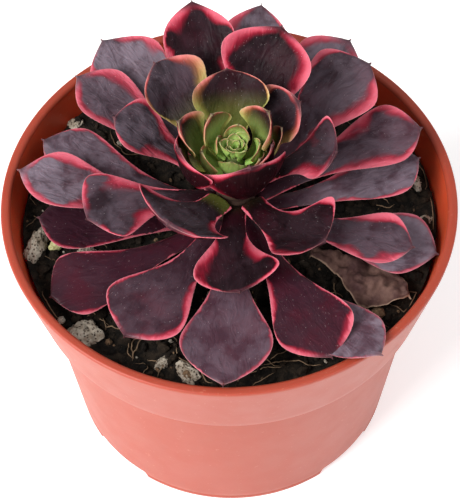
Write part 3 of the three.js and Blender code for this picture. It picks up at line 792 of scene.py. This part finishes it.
def leaf_finish(name, deep, light, wine_colour, gloss):
    """Leaf skin, laid up in this order: clouds of the deep and light ground
    colour, plum and wine patches, olive towards the root of a green leaf;
    patchy grey wax on the upper face, partly painted sheen; a crimson margin of uneven width, pink
    at the rim; dry scratches and specks; a pale hairline and a dark tip."""
    finish, tree, shader = new_finish(name, 0.45, gloss)

    def read(key):
        """A leaf's own value stored under this name."""
        return put(tree, "Attribute", attribute_name=key).outputs["Fac"]

    place = put(tree, "TexCoord").outputs["Object"]
    along, edge, upper = read("along"), read("edge"), read("upper")
    skin = put(tree, "CombineXYZ", {0: read("far"), 1: read("wide"), 2: read("seed")}).outputs[0]
    streaked = put(tree, "VectorMath", {0: skin, 1: (0.45, 1.0, 1.0)}, operation="MULTIPLY").outputs[0]
    folds = grain(tree, streaked, 0.42, 2.5, 0.5, 1.2)
    cloud = grain(tree, skin, 0.16, 4.0, 0.6, 0.4)
    fine = grain(tree, skin, 2.6, 4.0, 0.65)
    slow = grain(tree, skin, 0.085, 1.0)

    ground = blend(tree, fade(tree, cloud, 0.35, 0.65), deep, light)
    ground = blend(tree, calc(tree, "MULTIPLY", read("plum"), 0.8), ground, (0.060, 0.017, 0.030, 1))
    wine = calc(tree, "MULTIPLY", fade(tree, grain(tree, skin, 0.11, 3.0), 0.45, 0.68), 0.55)
    ground = blend(tree, wine, ground, wine_colour)
    green = read("green")
    low = calc(tree, "MULTIPLY", green, 0.35)
    high = calc(tree, "ADD", calc(tree, "MULTIPLY", green, 1.1), 0.1)
    ripe = fade(tree, along, low, high)
    olive = blend(tree, fade(tree, green, 0.6, 1.0), (0.16, 0.18, 0.035, 1), (0.50, 0.76, 0.19, 1))
    leafy = calc(tree, "MULTIPLY", fade(tree, green, 0.02, 0.3), calc(tree, "SUBTRACT", 1.0, ripe))
    leafy = calc(tree, "MULTIPLY", leafy, fade(tree, cloud, 0.2, 0.55, 0.75, 1.0))
    ground = blend(tree, leafy, ground, olive)

    # painted sheen: the grey wax is partly painted sheen, given more strongly to leaves that catch the
    # light, on the upper face only
    wax_bloom_and_sheen = calc(tree, "MULTIPLY", read("wax_bloom_and_sheen"), fade(tree, along, 0.10, 0.55))
    wax_bloom_and_sheen = calc(tree, "MULTIPLY", wax_bloom_and_sheen, fade(tree, cloud, 0.32, 0.60, 0.25, 1.0))
    wax_bloom_and_sheen = calc(tree, "MULTIPLY", wax_bloom_and_sheen, fade(tree, folds, 0.36, 0.60, 0.80, 1.0))
    wax_bloom_and_sheen = calc(tree, "MULTIPLY", wax_bloom_and_sheen, upper)
    ground = blend(tree, calc(tree, "MULTIPLY", wax_bloom_and_sheen, 0.85), ground, (0.250, 0.200, 0.250, 1))

    # the margin is broad in places and fades to nothing in others
    broad = calc(tree, "MULTIPLY", fade(tree, slow, 0.36, 0.62, 0.7, 5.0), read("rose"))
    broad = calc(tree, "MULTIPLY", broad, fade(tree, along, 0.28, 0.72, 0.10, 1.0))
    broad = calc(tree, "ADD", broad, 0.05)
    ragged = calc(tree, "ADD", edge, calc(tree, "MULTIPLY", calc(tree, "SUBTRACT", cloud, 0.5), 1.6))
    ragged = calc(tree, "ADD", ragged, calc(tree, "MULTIPLY", calc(tree, "SUBTRACT", folds, 0.5), 1.4))
    ratio = calc(tree, "DIVIDE", ragged, broad)
    band = fade(tree, ratio, 0.30, 1.05, 1.0, 0.0)
    band = calc(tree, "MULTIPLY", band, fade(tree, read("rose"), 0.0, 0.5, 0.5, 1.0))
    band = calc(tree, "MULTIPLY", band, fade(tree, along, 0.91, 0.97, 1.0, 0.1))
    young = calc(tree, "MULTIPLY", fade(tree, green, 0.3, 0.65), fade(tree, along, 0.60, 0.93, 1.0, 0.15))
    crimson = blend(tree, young, (0.32, 0.010, 0.030, 1), (0.24, 0.22, 0.050, 1))
    pink = blend(tree, young, (0.62, 0.125, 0.175, 1), (0.50, 0.52, 0.150, 1))
    margin = blend(tree, fade(tree, ratio, 0.0, 0.70, 1.0, 0.0), crimson, pink)
    colour = blend(tree, band, ground, margin)

    dry = fade(tree, grain(tree, streaked, 2.8, 2.0, 0.5), 0.69, 0.76)
    colour = blend(tree, calc(tree, "MULTIPLY", dry, 0.22), colour, (0.42, 0.34, 0.36, 1))
    speck = fade(tree, grain(tree, skin, 3.4, 1.0), 0.76, 0.80)
    colour = blend(tree, calc(tree, "MULTIPLY", speck, 0.5), colour, (0.75, 0.68, 0.68, 1))
    hairline = fade(tree, edge, 0.03, 0.14, 0.45, 0.0)
    hairline = calc(tree, "MULTIPLY", hairline, fade(tree, along, 0.2, 0.6, 0.25, 1.0))
    thread = blend(tree, fade(tree, green, 0.5, 0.9), (0.60, 0.30, 0.30, 1), (0.58, 0.62, 0.26, 1))
    colour = blend(tree, hairline, colour, thread)
    horn = fade(tree, along, 0.955, 0.99)
    colour = blend(tree, calc(tree, "MULTIPLY", horn, 0.85), colour, (0.050, 0.020, 0.028, 1))
    tree.links.new(colour, shader.inputs["Base Color"])

    waxy = fade(tree, wax_bloom_and_sheen, 0.0, 0.8, 0.38, 0.55)
    rough = calc(tree, "ADD", waxy, fade(tree, fine, 0.3, 0.7, -0.05, 0.06))
    tree.links.new(rough, shader.inputs["Roughness"])
    shader.inputs["Subsurface Weight"].default_value = 0.12
    shader.inputs["Subsurface Radius"].default_value = (1.0, 0.25, 0.2)
    shader.inputs["Subsurface Scale"].default_value = 0.0015
    folded = raise_from(tree, shader, folds, 0.45, 0.0010)
    raise_from(tree, shader, grain(tree, place, 1500.0, 3.0, 0.6), 0.25, 0.00015, folded)
    return finish


# name, deep ground, light ground, wine patches and gloss
plum_skin = leaf_finish(
    "plum_leaf_skin", (0.016, 0.004, 0.008, 1), (0.030, 0.010, 0.016, 1), (0.060, 0.004, 0.012, 1), 0.20)
maroon_skin = leaf_finish(
    "maroon_leaf_skin", (0.007, 0.002, 0.003, 1), (0.014, 0.004, 0.006, 1), (0.028, 0.002, 0.006, 1), 0.04)
young_skin = leaf_finish(
    "young_leaf_skin", (0.008, 0.002, 0.003, 1), (0.016, 0.004, 0.005, 1), (0.030, 0.002, 0.005, 1), 0.04)
heart_skin = leaf_finish(
    "heart_leaf_skin", (0.050, 0.020, 0.012, 1), (0.090, 0.045, 0.020, 1), (0.060, 0.010, 0.010, 1), 0.22)
groups = [
    ("outer_leaf", OUTER_LEAVES, plum_skin),
    ("middle_leaf", MIDDLE_LEAVES, maroon_skin),
    ("inner_leaf", INNER_LEAVES, young_skin),
    ("heart_leaf", HEART_LEAVES, heart_skin),
]
# every leaf has a seed of its own
for group, (kind, leaves, skin) in enumerate(groups):
    for number, leaf in enumerate(leaves):
        node = f"{kind}_{number + 1:02d}"
        blade = leaf_piece(node + "_blade", leaf, 1 + number + 20 * group)
        blade.data.materials.append(skin)
        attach(blade, "root")
        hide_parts(node)

# The youngest leaves close the stem's end in a tight spiral: each stands one
# golden angle on from the one before it, nearer the axis and smaller.
BUD_LEAVES = 11
GOLDEN_ANGLE = 137.5
for step in range(BUD_LEAVES):
    az, root, rise = 40 + GOLDEN_ANGLE * step, 88.6 + 0.12 * step, 62 + 1.5 * step
    reach, tip, width = 3.6 - 0.28 * step, 94.8 - 0.12 * step, 5.6 - 0.36 * step
    leaf = (az, root, rise, reach, tip, width, 80, 0.2, 0.7, 0.0, 0.05, 1.0, 0.0)
    blade = leaf_piece(f"bud_leaf_{step + 1:02d}", leaf, 60 + step, start=0.9 - 0.05 * step)
    blade.data.materials.append(heart_skin)
    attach(blade, "root")

# ------------------------------------------------------------- withered leaf
# One old leaf that has dried, dropped and lies on the compost at the right,
# brown, papery and crumpled, its edges rolled under.

# the columns of the living leaves
WITHERED = (328, 67.2, 12, 46, 67.6, 14, -40, 0, 0.60, 0.0, 0.0, 0.0, 0.0)


def withered_finish():
    """Papery brown skin, dark wine-coloured in cloudy patches, tan along the rim."""
    finish, tree, shader = new_finish("withered_leaf_skin", 0.8, 0.3)
    place = put(tree, "TexCoord").outputs["Object"]
    edge = put(tree, "Attribute", attribute_name="edge").outputs["Fac"]
    patch = fade(tree, grain(tree, place, 160.0, 5.0, 0.65), 0.35, 0.68)
    colour = blend(tree, patch, (0.040, 0.014, 0.014, 1), (0.125, 0.066, 0.052, 1))
    colour = blend(tree, fade(tree, edge, 0.05, 0.45, 0.8, 0.0), colour, (0.36, 0.24, 0.17, 1))
    tree.links.new(colour, shader.inputs["Base Color"])
    creased = raise_from(tree, shader, grain(tree, place, 260.0, 5.0, 0.6), 0.8, 0.001)
    raise_from(tree, shader, grain(tree, place, 1400.0, 4.0, 0.6), 0.5, 0.0003, creased)
    return finish


withered = leaf_piece("withered_leaf", WITHERED, 91, start=20, crumple=4.0)
withered.data.materials.append(withered_finish())
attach(withered, "root")
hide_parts("dried_leaf")

# --------------------------------------------------- floor, lights and camera
# A plain pale table top, a wide soft light from the upper left, a weaker one
# from the right and an even white surround.

TABLE_HALF = 3.0
CAMERA_PLACE = (0.0, -0.2462, 0.4056)
CAMERA_DOWN = 55.18
CAMERA_ROLL = -1.04
CAMERA_LENS = 129.6

mesh = bpy.data.meshes.new("table_top")
corners = [(-TABLE_HALF, -TABLE_HALF, 0), (TABLE_HALF, -TABLE_HALF, 0)]
corners += [(TABLE_HALF, TABLE_HALF, 0), (-TABLE_HALF, TABLE_HALF, 0)]
mesh.from_pydata(corners, [], [(0, 1, 2, 3)])
floor = bpy.data.objects.new("table_top", mesh)
bpy.context.scene.collection.objects.link(floor)
finish, tree, shader = new_finish("white_table", 0.7, 0.3)
shader.inputs["Base Color"].default_value = (0.94, 0.94, 0.94, 1)
shader.inputs["Emission Color"].default_value = (1, 1, 1, 1)
shader.inputs["Emission Strength"].default_value = 0.36
floor.data.materials.append(finish)


def area_light(name, place, target, size, power, colour):
    """A square soft light that faces its target."""
    data = bpy.data.lights.new(name, "AREA")
    data.size = size
    data.energy = power
    data.color = colour
    light = bpy.data.objects.new(name, data)
    bpy.context.scene.collection.objects.link(light)
    light.location = place
    light.rotation_euler = (Vector(target) - Vector(place)).to_track_quat("-Z", "Y").to_euler()


rosette = (0, 0, 0.07)
area_light("key", (-0.60, -0.42, 0.66), rosette, 0.60, 14.0, (1.0, 0.98, 0.96))
area_light("fill", (0.60, -0.30, 0.70), rosette, 0.60, 3.0, (0.97, 0.98, 1.0))

world = bpy.data.worlds.new("white_surround")
bpy.context.scene.world = world
world.use_nodes = True
surround = world.node_tree.nodes["Background"]
surround.inputs["Color"].default_value = (1, 1, 1, 1)
surround.inputs["Strength"].default_value = 0.42

data = bpy.data.cameras.new("camera")
data.sensor_width = 36.0
data.lens = CAMERA_LENS
data.clip_start = 0.01
camera = bpy.data.objects.new("camera", data)
bpy.context.scene.collection.objects.link(camera)
camera.matrix_world = (
    Matrix.Translation(CAMERA_PLACE)
    @ Matrix.Rotation(math.radians(90 - CAMERA_DOWN), 4, "X")
    @ Matrix.Rotation(math.radians(CAMERA_ROLL), 4, "Z")
)
bpy.context.scene.camera = camera
bpy.context.scene.view_settings.view_transform = "Standard"
